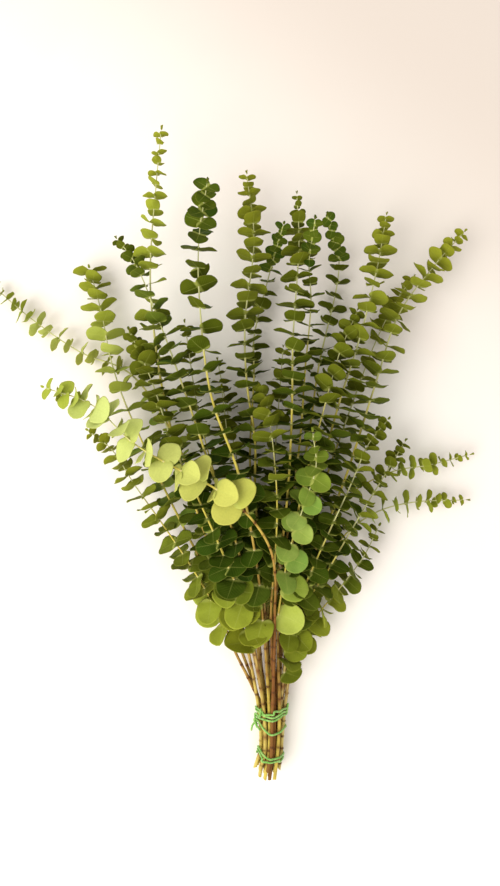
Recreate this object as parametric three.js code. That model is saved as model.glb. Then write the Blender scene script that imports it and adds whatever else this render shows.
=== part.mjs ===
// A tied bunch of round-leaved eucalyptus branches, lying on a flat surface.
// Millimetres, +Z up, +Y from the cut ends to the tips, +X to the right seen from above.
// The origin is on the surface, under the middle of the bunch.
// Each branch is one closed mesh: a stem of square rings whose side corners open into leaves.

import * as THREE from "three";

// The view of the photograph: straight down from CAMERA_HEIGHT over the pixel PHOTO_CENTRE.
const CAMERA_HEIGHT = 768;
const FOCAL_LENGTH_PX = 688;
const PHOTO_CENTRE = new THREE.Vector2(250, 443);
const BUNCH_CENTRE = new THREE.Vector2(-25, -23);

// Stems
const STEM_RADIUS = 1.9;
const TIP_RADIUS = 0.75;
const TAPER_LENGTH = 330;
const BUD_LENGTH = 2;
const BUNDLE_RING_SPACING = 21;
const BARE_RING_SPACING = 32;

// Bundle: the branches lie in rows, counted from the surface up.
const ROW_PITCH = 4.35;
const ROW_LIFT = 0.35;
const ROW_PITCH_FOLIAGE = 18;
const ROWS_OPEN_FROM = -290;
const ROWS_OPEN_TO = 20;
const UPPER_TIE = { x: 23.7, y: -298, pitch: 5.3 };
const LOWER_TIE = { x: 22.4, y: -337, pitch: 4.6 };
const CUT_END = { x: 18.6, y: -359, pitch: 5.2, drop: 1.7, uneven: 7 };

// Leaves
const LEAF_WIDTH_RATIO = 1.08;
const LEAF_SIZE_SPREAD = 0.08;
const LEAF_HALF_THICKNESS = 0.5;
const TIP_PAIR_SPACING = 9.5;
const SPACING_GROWS_OVER = 110;
const FIRST_PAIR_FROM_TIP = 3;
const FOLIAGE_END_UNEVEN = 16;
const LEAF_TILT = 5;
const LEAF_TILT_SPREAD = 16;
const LEAF_YAW_SPREAD = 10;
const LEAF_ROLL_SPREAD = 22;
const TWIST_SPREAD = 22;
const TIP_FACING = { from: 35, to: 115 };

// Near the ties the leaves are broader and lie flatter over the stems.
const LOW_LEAVES = { from: 60, to: 200, broader: 0.32, facing: 40 };

// Leaves move aside for each other by these turns, in degrees, and these scales.
const SCALE_STEPS = [1, 0.86, 0.72, 0.58];
const TILT_STEPS = [0, 14, -14, 28, -28];
const YAW_STEPS = [0, 15, -15, 32, -32];
const LEAF_CLEARANCE = 1.1;
const STEM_CLEARANCE = 1.5;
const STEM_SAMPLE_STEP = 3;

// Twine
const TWINE_RADIUS = 0.9;
const TWINE_GAP = 0.75;
const TWINE_SIDES = 6;
const TWINE_STEPS_PER_TURN = 16;
const UPPER_WRAPS = { turns: 4, from: -286, to: -312, slant: -2.5 };
const LOWER_WRAPS = { turns: 2, from: -334, to: -340, slant: -2.5 };

// A branch's full leaf and its first leaf at the tip, how far from the tip its leaves are full
// grown, how far apart its pairs are, how many degrees its leaves turn up to the light along it
// and at its tip, the share of its height that its tip sags by, how far the very end turns up
// again, and the place along the bunch below which it is bare. The branches whose ends turn up
// to the camera in the photograph are UPTURNED.
const USUAL_BRANCH = {
  leaf: 20, tipLeaf: 10, grownFrom: 60, spacing: 15,
  facing: 0, tipFacing: 0, sag: 0.45, rise: 0, bareBelow: -196,
};
const UPTURNED = { leaf: 17, tipLeaf: 9, grownFrom: 110, tipFacing: 10, sag: 0.3, rise: 70 };

// Branches from the lowest row up, left to right in each row. A route runs from the tip to
// the bundle in the photograph's pixels (column, row).
const ROWS = [
  [
    { route: [[-7, 286], [33, 320], [82, 353], [128, 372], [165, 420], [205, 510], [238, 595]],
      leaf: 16, tipLeaf: 10, spacing: 15, facing: 15, tipFacing: 15, sag: 0.3 },
    { route: [[283, 226], [270, 272], [254, 338], [254, 375], [250, 460], [255, 540], [263, 600]],
      ...UPTURNED },
    { route: [[328, 217], [339, 260], [337, 285], [319, 365], [308, 440], [290, 530], [276, 600]],
      ...UPTURNED },
    { route: [[412, 279], [396, 301], [376, 341], [350, 410], [322, 490], [297, 570], [284, 620]],
      sag: 0.3 },
  ],
  [
    { route: [[90, 270], [102, 315], [110, 356], [122, 395], [153, 465], [186, 532], [216, 590],
      [242, 652]],
      leaf: 22.5, tipLeaf: 19, spacing: 22, sag: 0.5 },
    { route: [[185, 325], [200, 420], [228, 520], [250, 600]], sag: 0.5 },
    { route: [[218, 363], [235, 450], [252, 540], [262, 600]], sag: 0.5 },
    { route: [[468, 455], [429, 465], [391, 472], [350, 495], [320, 540], [290, 600]],
      leaf: 15, tipLeaf: 7, spacing: 15, sag: 0.6 },
    { route: [[464, 500], [415, 502], [379, 511], [350, 530], [318, 570], [293, 612]],
      leaf: 16, tipLeaf: 7, spacing: 15, sag: 0.6 },
  ],
  [
    { route: [[90, 432], [113, 451], [134, 484], [161, 522], [191, 566], [219, 614], [238, 658]],
      sag: 0.5 },
    { route: [[283, 350], [276, 440], [270, 530], [268, 600]] },
    { route: [[463, 233], [434, 266], [399, 314], [377, 379], [348, 470], [328, 522],
      [300, 585], [287, 625]] },
    { route: [[378, 528], [364, 556], [343, 584], [322, 609], [299, 640]],
      leaf: 17, sag: 0.5, bareBelow: -214 },
  ],
  [
    { route: [[161, 132], [156, 186], [151, 249], [151, 300], [166, 408], [190, 490],
      [213, 555], [238, 612]],
      leaf: 19, tipLeaf: 9, grownFrom: 150, spacing: 15.5, sag: 0.1 },
    { route: [[222, 390], [232, 470], [246, 550], [256, 610]] },
    { route: [[247, 176], [254, 240], [245, 323], [247, 384], [255, 440], [255, 490],
      [260, 560], [265, 610]] },
    { route: [[315, 221], [309, 265], [311, 300], [305, 372], [300, 440], [288, 530], [276, 600]],
      ...UPTURNED },
    { route: [[386, 217], [378, 264], [360, 337], [340, 400], [318, 480], [298, 560], [284, 615]],
      bareBelow: -212 },
    { route: [[404, 443], [383, 478], [359, 517], [328, 570], [302, 612]],
      leaf: 17, sag: 0.5, bareBelow: -232 },
  ],
  [
    { route: [[118, 240], [135, 263], [161, 326], [188, 401], [206, 455], [236, 542], [252, 610]],
      tipLeaf: 8, grownFrom: 90, bareBelow: -214 },
    { route: [[297, 196], [299, 243], [293, 340], [292, 408], [288, 489], [280, 560], [274, 610]],
      tipLeaf: 6 },
    { route: [[357, 312], [340, 352], [322, 416], [305, 480], [291, 550], [283, 610]],
      bareBelow: -212 },
    { route: [[387, 421], [368, 445], [352, 482], [330, 530], [305, 585], [294, 612]],
      leaf: 17, sag: 0.4, bareBelow: -246 },
  ],
  [
    { route: [[130, 332], [151, 379], [173, 444], [199, 500], [224, 556], [246, 614]],
      bareBelow: -210 },
    { route: [[207, 184], [199, 238], [199, 291], [211, 395], [238, 472], [255, 553], [262, 610]],
      tipLeaf: 14, spacing: 21, tipFacing: 10, sag: 0.45, rise: 80, bareBelow: -208 },
    { route: [[260, 387], [267, 408], [273, 446], [277, 501], [275, 560], [271, 610]],
      bareBelow: -224 },
    { route: [[313, 434], [316, 467], [305, 502], [289, 552], [282, 590], [278, 620]],
      leaf: 21, spacing: 17, facing: 50, tipFacing: 50, sag: 0.1, bareBelow: -196,
      young: true },
  ],
  [
    { route: [[46, 388], [92, 405], [132, 442], [166, 463], [216, 489], [249, 516],
      [272, 554], [275, 610]],
      leaf: 24, tipLeaf: 13, spacing: 19, facing: 55, tipFacing: 60, sag: 0.3,
      bareBelow: -64, young: true },
  ],
];

const LEAF_GREEN = new THREE.MeshStandardMaterial({ color: 0x55752f, roughness: 0.6, metalness: 0 });
const YOUNG_GREEN = new THREE.MeshStandardMaterial({ color: 0x9db552, roughness: 0.6, metalness: 0 });
const TWINE_GREEN = new THREE.MeshStandardMaterial({ color: 0x7cc79a, roughness: 0.75, metalness: 0 });

const UP = new THREE.Vector3(0, 0, 1);
const { degToRad, lerp, smoothstep } = THREE.MathUtils;

// A number from -1 to 1 that is the same each time for the same two keys.
function scatter(key, other) {
  const wave = Math.sin(key * 12.9898 + other * 78.233) * 43758.5453;
  return 2 * (wave - Math.floor(wave)) - 1;
}

// The height of a row's stems above the surface, at a place along the bunch.
function rowHeight(row, y) {
  const opened = smoothstep(y, ROWS_OPEN_FROM, ROWS_OPEN_TO);
  return ROW_LIFT + (row + 1) * lerp(ROW_PITCH, ROW_PITCH_FOLIAGE, opened);
}

// The point that the photograph shows at a pixel, at a height above the surface.
function fromPhoto(column, line, height) {
  const scale = (CAMERA_HEIGHT - height) / FOCAL_LENGTH_PX;
  return new THREE.Vector3(
    (column - PHOTO_CENTRE.x) * scale - BUNCH_CENTRE.x,
    (PHOTO_CENTRE.y - line) * scale - BUNCH_CENTRE.y,
    height,
  );
}

function inBundle(station, row, place, inRow) {
  const x = station.x + (place - (inRow - 1) / 2) * station.pitch;
  return new THREE.Vector3(x - BUNCH_CENTRE.x, station.y - BUNCH_CENTRE.y, rowHeight(row, station.y));
}

// The stem's centre line, from its cut end through both ties to its tip.
function stemCurve({ route, sag, rise, key }, row, place, inRow) {
  const cut = inBundle(CUT_END, row, place, inRow);
  cut.y += CUT_END.uneven * scatter(key, 1);
  cut.z -= CUT_END.drop;
  const points = [cut, inBundle(LOWER_TIE, row, place, inRow), inBundle(UPPER_TIE, row, place, inRow)];
  [...route].reverse().forEach(([column, line], index) => {
    const reached = index / (route.length - 1);
    const y = (PHOTO_CENTRE.y - line) * (CAMERA_HEIGHT / FOCAL_LENGTH_PX);
    const height = rowHeight(row, y) * (1 - sag * reached ** 3);
    points.push(fromPhoto(column, line, height + rise * reached ** 12));
  });
  return new THREE.CatmullRomCurve3(points, false, "centripetal");
}

function stemRadius(fromTip) {
  return lerp(TIP_RADIUS, STEM_RADIUS, smoothstep(fromTip, 0, TAPER_LENGTH));
}

// A place on a stem: its centre, its direction to the tip, and two directions across it.
function station(curve, length, along, turn) {
  const share = THREE.MathUtils.clamp(along / length, 0, 1);
  const tangent = curve.getTangentAt(share);
  const side = new THREE.Vector3().crossVectors(tangent, UP).normalize();
  side.applyAxisAngle(tangent, turn);
  const across = new THREE.Vector3().crossVectors(tangent, side);
  return { centre: curve.getPointAt(share), tangent, side, across, radius: stemRadius(length - along) };
}

// The four corners of the stem at a place, counter-clockwise seen from the tip.
function corner(place, index) {
  const direction = index % 2 ? place.across : place.side;
  const sign = index < 2 ? 1 : -1;
  return direction.clone().multiplyScalar(sign * place.radius).add(place.centre);
}

// The rim of a leaf that grows from one corner: five points from its right to its left side.
function leafRim(place, index, size, turns) {
  const out = corner(place, index).sub(place.centre).normalize();
  out.applyAxisAngle(place.tangent, turns.yaw);
  const across = new THREE.Vector3().crossVectors(place.tangent, out);
  out.applyAxisAngle(across, -turns.tilt);
  across.applyAxisAngle(out, turns.roll);
  const width = size * LEAF_WIDTH_RATIO;
  const point = (reach, aside) =>
    place.centre.clone().addScaledVector(out, reach * size).addScaledVector(across, aside * width);
  return [point(0.45, -0.5), point(0.86, -0.33), point(1, 0), point(0.86, 0.33), point(0.45, 0.5)];
}

// Tests that keep the leaves apart

const scratchRay = new THREE.Ray();
const scratchPoint = new THREE.Vector3();

function leafFaces(base, outline) {
  return outline.slice(1).map((point, index) => new THREE.Triangle(base, outline[index], point));
}

function leafEdges(outline) {
  return outline.slice(1).map((point, index) => [outline[index], point]);
}

function cuts([from, to], face) {
  scratchRay.origin.copy(from);
  scratchRay.direction.subVectors(to, from);
  const reach = scratchRay.direction.length();
  scratchRay.direction.normalize();
  const hit = scratchRay.intersectTriangle(face.a, face.b, face.c, false, scratchPoint);
  return hit !== null && hit.distanceTo(from) < reach;
}

function near(point, face, gap) {
  return face.closestPointToPoint(point, scratchPoint).distanceTo(point) < gap;
}

function leavesTouch(leaf, other) {
  const crossed = (one, two) => one.edges.some((edge) => two.faces.some((face) => cuts(edge, face)));
  const close = (one, two) =>
    one.rim.some((point) => two.faces.some((face) => near(point, face, LEAF_CLEARANCE)));
  return crossed(leaf, other) || crossed(other, leaf) || close(leaf, other) || close(other, leaf);
}

function isClear(leaf, leaves, samples) {
  if (leaf.rim.some((point) => point.z < 0)) return false;
  const blocked = samples.some((sample) =>
    leaf.faces.some((face) => near(sample.point, face, sample.radius + STEM_CLEARANCE)),
  );
  return !blocked && !leaves.some((other) => leavesTouch(leaf, other));
}

// The first leaf of those tried that is clear of the surface, the stems and the leaves so far.
function placeLeaf(place, index, size, natural, stems, leaves, owner) {
  const within = (point, reach) => point.distanceTo(place.centre) < reach;
  const nearLeaves = leaves.filter(
    (other) => other.base !== place.centre && within(other.base, size + other.size + 3),
  );
  const samples = stems.filter((s) => s.owner !== owner && within(s.point, 1.2 * size + 3));
  for (const scale of SCALE_STEPS)
    for (const tilt of TILT_STEPS)
      for (const yaw of YAW_STEPS) {
        const turns = {
          yaw: degToRad(natural.yaw + yaw),
          tilt: degToRad(natural.tilt + tilt),
          roll: degToRad(natural.roll),
        };
        const leaf = { base: place.centre, size: size * scale, tilt: turns.tilt };
        leaf.rim = leafRim(place, index, leaf.size, turns);
        const outline = [corner(place, (index + 3) % 4), ...leaf.rim, corner(place, (index + 1) % 4)];
        leaf.faces = leafFaces(leaf.base, outline);
        leaf.edges = leafEdges(outline);
        if (isClear(leaf, nearLeaves, samples)) return leaf;
      }
  return null;
}

// The places along a branch that carry a pair of leaves, from the tip down.
function pairPlaces(branch) {
  const places = [];
  const uneven = FOLIAGE_END_UNEVEN * scatter(branch.key, 2);
  const foliageEnd = branch.bareBelow + uneven - BUNCH_CENTRE.y;
  const twist = TWIST_SPREAD * scatter(branch.key, 3);
  let fromTip = FIRST_PAIR_FROM_TIP;
  while (fromTip < branch.length) {
    const number = places.length;
    const turn = degToRad(twist + LEAF_YAW_SPREAD * scatter(branch.key, 10 + number));
    const place = station(branch.curve, branch.length, branch.length - fromTip, turn);
    if (place.centre.y < foliageEnd) break;
    place.along = branch.length - fromTip;
    place.leaves = [];
    places.push(place);
    const spaced = smoothstep(fromTip, 0, SPACING_GROWS_OVER);
    fromTip += lerp(TIP_PAIR_SPACING, branch.spacing, spaced);
  }
  return places;
}

function growLeaves(branch, stems, leaves) {
  branch.places.forEach((place, number) => {
    const grown = smoothstep(branch.length - place.along, 0, branch.grownFrom);
    const low = smoothstep(-place.centre.y - BUNCH_CENTRE.y, LOW_LEAVES.from, LOW_LEAVES.to);
    const below = smoothstep(branch.length - place.along, TIP_FACING.from, TIP_FACING.to);
    const upper = lerp(branch.tipFacing, branch.facing, below);
    const facing = lerp(upper, Math.max(upper, LOW_LEAVES.facing), low);
    const uneven = 1 + LEAF_SIZE_SPREAD * scatter(branch.key, 200 + number);
    const size = lerp(branch.tipLeaf, branch.leaf, grown) * (1 + LOW_LEAVES.broader * low) * uneven;
    [0, 2].forEach((offset) => {
      const index = (number + offset) % 4;
      const out = corner(place, index).sub(place.centre).normalize();
      const toRight = out.dot(new THREE.Vector3().crossVectors(place.tangent, UP).normalize());
      const natural = {
        yaw: LEAF_YAW_SPREAD * scatter(branch.key, 300 + 4 * number + offset),
        tilt: LEAF_TILT + LEAF_TILT_SPREAD * scatter(branch.key, 500 + 4 * number + offset),
        roll: LEAF_ROLL_SPREAD * scatter(branch.key, 700 + 4 * number + offset) + facing * toRight,
      };
      natural.tilt -= facing * Math.max(0, out.z);
      const leaf = placeLeaf(place, index, size, natural, stems, leaves, branch.key);
      if (!leaf) return;
      place.leaves[index] = leaf;
      leaves.push(leaf);
    });
  });
}

// How far along a branch its centre line crosses the plane at y.
function alongAt(branch, y) {
  const after = branch.line.findIndex((point) => point.y > y);
  return (branch.length * after) / (branch.line.length - 1);
}

// The rings of a branch from its cut end up: bare ones, then those that carry leaves.
function branchRings(branch) {
  const leafy = branch.places.filter((place) => place.leaves.some(Boolean)).reverse();
  const rings = [];
  const addBare = (from, to, spacing) => {
    const steps = Math.max(1, Math.round((to - from) / spacing));
    for (let step = 0; step < steps; step++) {
      const along = lerp(from, to, step / steps);
      rings.push({ ...station(branch.curve, branch.length, along, 0), leaves: [] });
    }
  };
  const bends = [LOWER_TIE, UPPER_TIE].map((tie) => alongAt(branch, tie.y - BUNCH_CENTRE.y));
  addBare(0, bends[0], BUNDLE_RING_SPACING);
  addBare(bends[0], bends[1], BUNDLE_RING_SPACING);
  addBare(bends[1], leafy[0].along, BARE_RING_SPACING);
  leafy.forEach((place, index) => {
    if (index && place.along - leafy[index - 1].along > BARE_RING_SPACING) {
      const middle = (place.along + leafy[index - 1].along) / 2;
      rings.push({ ...station(branch.curve, branch.length, middle, 0), leaves: [] });
    }
    rings.push(place);
  });
  return rings;
}

// One closed mesh. At a leaf the ring's corner is split in an upper and a lower point, and
// the leaf is the thin wedge between the faces that fan out from them to its rim.
function branchGeometry(branch) {
  const points = [];
  const triangles = [];
  const add = (point) => points.push(point) - 1;
  const rings = branchRings(branch).map((place) => {
    const ring = { lower: [], upper: [] };
    for (let index = 0; index < 4; index++) {
      const leaf = place.leaves[index];
      const at = corner(place, index);
      if (!leaf) {
        ring.lower[index] = ring.upper[index] = add(at);
        continue;
      }
      at.addScaledVector(place.tangent, place.radius * Math.tan(leaf.tilt));
      ring.lower[index] = add(at.clone().addScaledVector(place.tangent, -LEAF_HALF_THICKNESS));
      ring.upper[index] = add(at.clone().addScaledVector(place.tangent, LEAF_HALF_THICKNESS));
    }
    place.leaves.forEach((leaf, index) => {
      const [right, , point, , left] = leaf.rim;
      const before = ring.lower[(index + 3) % 4];
      const after = ring.lower[(index + 1) % 4];
      const rim = [before, add(right), add(point), add(left), after];
      for (let step = 0; step < rim.length - 1; step++) {
        triangles.push([ring.upper[index], rim[step], rim[step + 1]]);
        triangles.push([ring.lower[index], rim[step + 1], rim[step]]);
      }
    });
    return ring;
  });
  rings.slice(1).forEach((above, number) => {
    const below = rings[number];
    for (let index = 0; index < 4; index++) {
      const next = (index + 1) % 4;
      triangles.push([below.upper[index], below.upper[next], above.lower[next]]);
      triangles.push([below.upper[index], above.lower[next], above.lower[index]]);
    }
  });
  const [a, b, c, d] = rings[0].lower;
  triangles.push([a, c, b], [a, d, c]);
  const tip = branch.curve.getPointAt(1).addScaledVector(branch.curve.getTangentAt(1), BUD_LENGTH);
  const bud = add(tip);
  const top = rings[rings.length - 1].upper;
  top.forEach((point, index) => triangles.push([point, top[(index + 1) % 4], bud]));
  const geometry = new THREE.BufferGeometry().setFromPoints(points);
  geometry.setIndex(triangles.flat());
  geometry.computeVertexNormals();
  return geometry;
}

// Where the stems cross the plane at y, as points (x, z).
function stemsAt(branches, y) {
  return branches.map((branch) => {
    const after = branch.line.findIndex((point) => point.y > y);
    const [low, high] = [branch.line[after - 1], branch.line[after]];
    const share = (y - low.y) / (high.y - low.y);
    return new THREE.Vector2(lerp(low.x, high.x, share), lerp(low.z, high.z, share));
  });
}

// Twine wound round the stems: it lies on the outermost stem in each direction.
class WoundCurve extends THREE.Curve {
  constructor(branches, wraps) {
    super();
    this.branches = branches;
    this.wraps = wraps;
  }

  getPoint(share) {
    const { turns, from, to, slant } = this.wraps;
    const angle = 2 * Math.PI * turns * share;
    const y = lerp(from, to, share) - BUNCH_CENTRE.y + slant * Math.cos(angle);
    const out = new THREE.Vector2(Math.sin(angle), Math.cos(angle));
    const stems = stemsAt(this.branches, y);
    const outermost = stems.reduce((best, stem) => (stem.dot(out) > best.dot(out) ? stem : best));
    const at = out.multiplyScalar(STEM_RADIUS + TWINE_GAP + TWINE_RADIUS).add(outermost);
    return new THREE.Vector3(at.x, y, at.y);
  }

  // Equal steps in angle, so that every corner of the bundle is rounded.
  getUtoTmapping(share) {
    return share;
  }
}

function twineGeometry(branches, wraps) {
  const section = new THREE.Shape();
  for (let side = 0; side < TWINE_SIDES; side++) {
    const angle = (2 * Math.PI * side) / TWINE_SIDES;
    const [x, y] = [TWINE_RADIUS * Math.cos(angle), TWINE_RADIUS * Math.sin(angle)];
    if (side) section.lineTo(x, y);
    else section.moveTo(x, y);
  }
  section.closePath();
  return new THREE.ExtrudeGeometry(section, {
    steps: wraps.turns * TWINE_STEPS_PER_TURN,
    extrudePath: new WoundCurve(branches, wraps),
    curveSegments: 1,
  });
}

function growBunch() {
  const branches = [];
  ROWS.forEach((inRow, row) =>
    inRow.forEach((drawn, place) => {
      const key = branches.length + 1;
      const branch = { ...USUAL_BRANCH, ...drawn, key };
      const curve = stemCurve(branch, row, place, inRow.length);
      const length = curve.getLength();
      const line = curve.getSpacedPoints(Math.round(length / STEM_SAMPLE_STEP));
      branches.push({ ...branch, curve, length, line });
    }),
  );
  const stems = branches.flatMap(({ key, length, line }) =>
    line.map((point, index) => {
      const radius = stemRadius(length * (1 - index / (line.length - 1)));
      return { owner: key, point, radius };
    }),
  );
  const leaves = [];
  [...branches].reverse().forEach((branch) => {
    branch.places = pairPlaces(branch);
    growLeaves(branch, stems, leaves);
  });
  return branches;
}

const bunch = new THREE.Group();
const branches = growBunch();
branches.forEach((branch) => {
  const material = branch.young ? YOUNG_GREEN : LEAF_GREEN;
  const mesh = new THREE.Mesh(branchGeometry(branch), material);
  mesh.name = "branch_" + String(branch.key).padStart(2, "0");
  bunch.add(mesh);
});
const ties = { twine_upper: UPPER_WRAPS, twine_lower: LOWER_WRAPS };
Object.entries(ties).forEach(([name, wraps]) => {
  const mesh = new THREE.Mesh(twineGeometry(branches, wraps), TWINE_GREEN);
  mesh.name = name;
  bunch.add(mesh);
});

export default bunch;
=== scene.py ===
"""A tied bunch of round-leaved eucalyptus branches, lying on a pale table.

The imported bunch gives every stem's line, every leaf's place and the winding of the twine.
This script grows cupped round leaves, jointed stems and twisted twine there, and lights them.
"""

from functools import cache

import bmesh
import bpy
import numpy as np
from bpy.props import FloatProperty, FloatVectorProperty, IntProperty, PointerProperty
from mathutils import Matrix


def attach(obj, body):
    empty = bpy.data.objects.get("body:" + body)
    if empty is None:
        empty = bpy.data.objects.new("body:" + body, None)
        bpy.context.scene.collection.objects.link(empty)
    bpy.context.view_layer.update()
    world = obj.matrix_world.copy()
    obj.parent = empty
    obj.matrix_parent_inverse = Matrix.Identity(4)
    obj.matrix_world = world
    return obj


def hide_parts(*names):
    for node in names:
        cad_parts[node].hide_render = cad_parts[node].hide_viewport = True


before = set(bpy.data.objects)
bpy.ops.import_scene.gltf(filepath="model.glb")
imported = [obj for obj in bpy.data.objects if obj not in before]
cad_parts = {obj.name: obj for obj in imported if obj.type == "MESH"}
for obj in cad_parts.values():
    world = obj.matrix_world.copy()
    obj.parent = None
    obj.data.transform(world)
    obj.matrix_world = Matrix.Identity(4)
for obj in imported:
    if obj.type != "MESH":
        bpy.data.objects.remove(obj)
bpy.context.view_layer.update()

bl_info = {
    "name": "Eucalyptus bunch",
    "version": (1, 0, 0),
    "blender": (4, 5, 0),
    "location": "View3D > Sidebar > Bunch",
    "description": "Grows leaves, stems and twine on the packed eucalyptus bunch",
    "category": "Object",
}

BRANCHES = sorted(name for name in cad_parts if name.startswith("branch_"))
TIES = sorted(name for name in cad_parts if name.startswith("twine_"))
DARK_BELOW = ("branch_19", "branch_23")
RED_STEMS = ("branch_17", "branch_22", "branch_26", "branch_28")

# How yellow and how pale each branch's leaves are, from 0 to 1. The rest have USUAL_LOOK.
USUAL_LOOK = (0.20, 0.04)
BRANCH_LOOKS = {
    "branch_01": (0.50, 1.20),
    "branch_02": (0.06, 0.00),
    "branch_03": (0.12, 0.00),
    "branch_04": (0.60, 0.25),
    "branch_05": (0.55, 0.80),
    "branch_08": (0.50, 0.60),
    "branch_09": (0.50, 0.60),
    "branch_10": (0.70, 0.30),
    "branch_12": (0.80, 0.25),
    "branch_14": (0.90, 0.50),
    "branch_16": (0.60, 0.20),
    "branch_17": (0.08, 0.00),
    "branch_18": (0.60, 0.25),
    "branch_20": (0.05, 0.35),
    "branch_24": (0.20, 0.05),
    "branch_25": (0.12, 0.00),
    "branch_26": (0.25, 0.10),
    "branch_27": (0.18, 0.66),
    "branch_28": (0.80, 1.60),
}


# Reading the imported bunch

JOIN_WITHIN = 2e-5
RING_REACH = 0.003
TWINE_RING_REACH = 0.0012


def unit(vectors):
    """The same directions with length 1."""
    return vectors / np.linalg.norm(vectors, axis=-1, keepdims=True)


def smoothstep(value, low, high):
    """0 below low, 1 above high, and a smooth rise between them."""
    fraction = np.clip((value - low) / (high - low), 0, 1)
    return fraction * fraction * (3 - 2 * fraction)


def joined_points(node):
    """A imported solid's points, each once, and the points that each one shares an edge with."""
    mesh = bmesh.new()
    mesh.from_mesh(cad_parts[node].data)
    bmesh.ops.remove_doubles(mesh, verts=mesh.verts, dist=JOIN_WITHIN)
    mesh.verts.index_update()
    points = np.array([point.co for point in mesh.verts])
    near = [{edge.other_vert(point).index for edge in point.link_edges} for point in mesh.verts]
    mesh.free()
    return points, near


def rings_of(points, near, loose, joined, reach):
    """The groups of points round a stem or a twine, in order from one end to the other.

    loose are the points that belong to no ring, and joined the sets that share one."""
    group = list(range(len(points)))

    def leader(point):
        while group[point] != point:
            point = group[point]
        return point

    for members in joined:
        first, *others = members
        for other in others:
            group[leader(other)] = leader(first)
    for point, around in enumerate(near):
        if point in loose:
            continue
        for other in around - loose:
            if np.linalg.norm(points[point] - points[other]) < reach:
                group[leader(other)] = leader(point)
    rings = {}
    for point in range(len(points)):
        if point not in loose:
            rings.setdefault(leader(point), []).append(point)
    beside = {
        key: {leader(other) for point in members for other in near[point] - loose} - {key}
        for key, members in rings.items()
    }
    ends = [key for key in rings if len(beside[key]) == 1]
    here = min(ends, key=lambda key: points[rings[key]][:, 1].mean())
    order = []
    while here is not None:
        order.append(here)
        here = next((key for key in beside[here] if key not in order), None)
    if len(order) != len(rings):
        raise RuntimeError(f"{len(order)} of {len(rings)} rings are in line")
    return [rings[key] for key in order]


def find_leaves(points, near):
    """Each leaf's tip, its two sides, its two roots and the two stem points beside them.

    Only a leaf's tip has four neighbours of which two have four neighbours themselves."""
    leaves = []
    for tip, around in enumerate(near):
        sides = [point for point in around if len(near[point]) == 4]
        roots = around - set(sides)
        if len(around) != 4 or len(sides) != 2 or not all(roots <= near[side] for side in sides):
            continue
        flanks = [next(iter(near[side] - roots - {tip})) for side in sides]
        leaves.append({"tip": tip, "sides": sides, "roots": roots, "flanks": flanks})
    return leaves


@cache
def read_branch(node):
    """A packed branch: its centre line from the cut end up, its radii and its leaves."""
    points, near = joined_points(node)
    found = find_leaves(points, near)
    loose = {leaf["tip"] for leaf in found} | {side for leaf in found for side in leaf["sides"]}
    joined = [leaf["roots"] | set(leaf["flanks"]) for leaf in found]
    rings = rings_of(points, near, loose, joined, RING_REACH)
    line, radii, leaves = [], [], []
    for number, ring in enumerate(rings):
        here = [leaf for leaf in found if leaf["roots"] <= set(ring)]
        corners = points[here[0]["flanks"]] if here else points[ring]
        centre = corners.mean(axis=0)
        line.append(centre)
        radii.append(np.linalg.norm(corners - centre, axis=1).mean())
        for leaf in here:
            leaves.append({**leaf, "ring": number})
    line, radii = np.array(line), np.array(radii)
    towards = unit(np.gradient(line, axis=0))
    for leaf in leaves:
        base = line[leaf["ring"]]
        reach = points[leaf["tip"]] - base
        size = np.linalg.norm(reach)
        out = reach / size
        across = unit(points[leaf["sides"][1]] - points[leaf["sides"][0]])
        normal = np.cross(out, across)
        if normal @ towards[leaf["ring"]] < 0:
            across, normal = -across, -normal
        leaf.update(base=base, size=size, out=out, across=across, normal=normal)
    return {"line": line, "radii": radii, "leaves": leaves}


def read_twine(node):
    """The centre line of a packed winding."""
    points, near = joined_points(node)
    rings = rings_of(points, near, set(), [], TWINE_RING_REACH)
    return np.array([points[ring].mean(axis=0) for ring in rings])


# Lines and tubes

NEARLY_UPRIGHT = 0.9


class SmoothLine:
    """A smooth curve through points, measured in metres along it."""

    def __init__(self, points):
        self.points = np.asarray(points, float)
        steps = np.linalg.norm(np.diff(self.points, axis=0), axis=1)
        self.places = np.concatenate([[0], np.cumsum(steps)])
        self.slopes = np.gradient(self.points, self.places, axis=0)
        self.length = self.places[-1]

    def at(self, places):
        """The points at these places."""
        before = np.searchsorted(self.places, places, side="right") - 1
        before = np.clip(before, 0, len(self.places) - 2)
        span = self.places[before + 1] - self.places[before]
        past = ((places - self.places[before]) / span)[:, None]
        span = span[:, None]
        start, end = self.points[before], self.points[before + 1]
        rise, fall = self.slopes[before] * span, self.slopes[before + 1] * span
        return (
            (2 * past**3 - 3 * past**2 + 1) * start
            + (past**3 - 2 * past**2 + past) * rise
            + (3 * past**2 - 2 * past**3) * end
            + (past**3 - past**2) * fall
        )


def cross_frames(line):
    """Two directions across a line at each of its points, carried along without twist."""
    towards = unit(np.gradient(line, axis=0))
    upright = abs(towards[0][2]) >= NEARLY_UPRIGHT
    start = np.array([1.0, 0.0, 0.0] if upright else [0.0, 0.0, 1.0])
    side = unit(start - (start @ towards[0]) * towards[0])
    sides = []
    for direction in towards:
        side = unit(side - (side @ direction) * direction)
        sides.append(side)
    sides = np.array(sides)
    return sides, np.cross(towards, sides), towards


def even_angles(count):
    """Angles of points spread evenly round a circle."""
    return np.linspace(0, 2 * np.pi, count, endpoint=False)


def tube_points(centres, radii, sides, ups):
    """Points round a line, as many on each of its rings as there are radii there."""
    angles = even_angles(radii.shape[1])
    across = np.cos(angles)[None, :, None] * sides[:, None]
    over = np.sin(angles)[None, :, None] * ups[:, None]
    return centres[:, None] + radii[:, :, None] * (across + over)


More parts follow.
